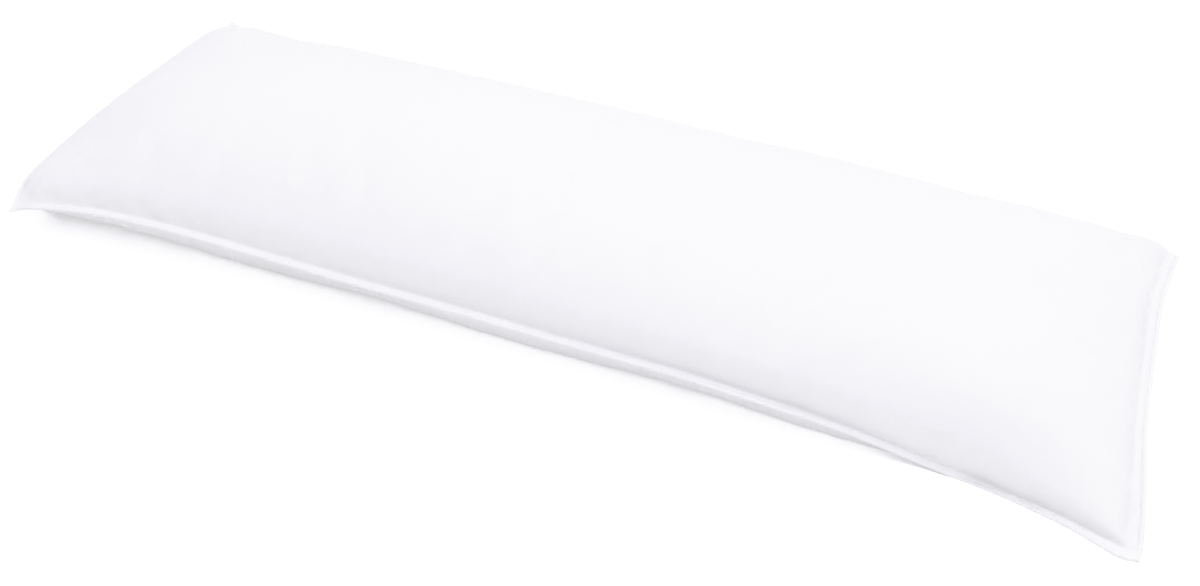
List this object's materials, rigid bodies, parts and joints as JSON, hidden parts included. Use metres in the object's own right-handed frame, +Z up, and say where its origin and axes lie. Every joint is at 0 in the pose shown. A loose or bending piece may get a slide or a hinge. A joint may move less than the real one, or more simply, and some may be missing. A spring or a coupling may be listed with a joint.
{
  "type": "body pillow",
  "caption": "Long filled cloth pillow with a soft crown, sides drawn in between its pointed corners and a narrow stitched lip all round.",
  "frame": {"origin": "middle of the underside, on the surface that the pillow lies on", "axes": "+X along the length towards the closing seam, +Y across the width towards the back side, +Z up through the crown"},
  "size_m": [1.3262, 0.4952, 0.1296],
  "materials": {
    "white_cloth": "matt white close plain weave with a faint soft sheen",
    "white_thread": "matt white sewing thread of the seam stitches"
  },
  "bodies": {
    "root": {"filled_pillow": "white_cloth"}
  },
  "joints": []
}
